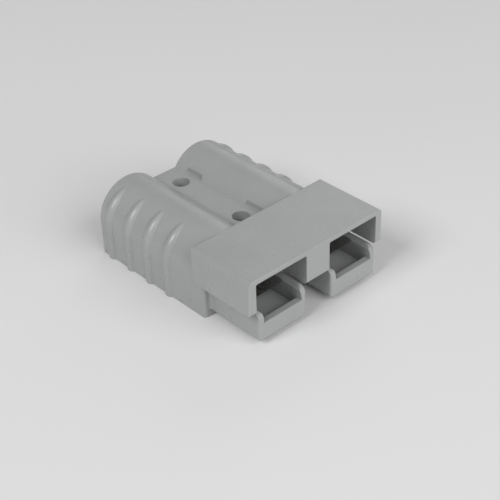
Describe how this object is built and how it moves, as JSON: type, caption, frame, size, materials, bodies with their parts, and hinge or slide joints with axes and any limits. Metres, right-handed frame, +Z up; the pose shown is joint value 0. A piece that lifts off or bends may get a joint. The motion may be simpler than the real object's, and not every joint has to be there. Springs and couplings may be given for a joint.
{
  "type": "genderless power connector housing",
  "caption": "Flat grey moulded power connector housing: a hood over open troughs at the mating end, and ribbed barrels with round cable entries behind.",
  "frame": {"origin": "centre of the part's outline, on the flat underside that it rests on", "axes": "+Z up, +Y towards the cable end, -Y towards the mating end, +X to the right as the mating end is seen from the front"},
  "size_m": [0.0366, 0.0476, 0.0158],
  "materials": {
    "moulded_plastic": "moulded, satin to semi-gloss, mid grey",
    "spring_steel": "bare stainless strip"
  },
  "bodies": {
    "root": {"housing": "moulded_plastic", "left_leaf_spring": "spring_steel", "right_leaf_spring": "spring_steel"}
  },
  "joints": []
}
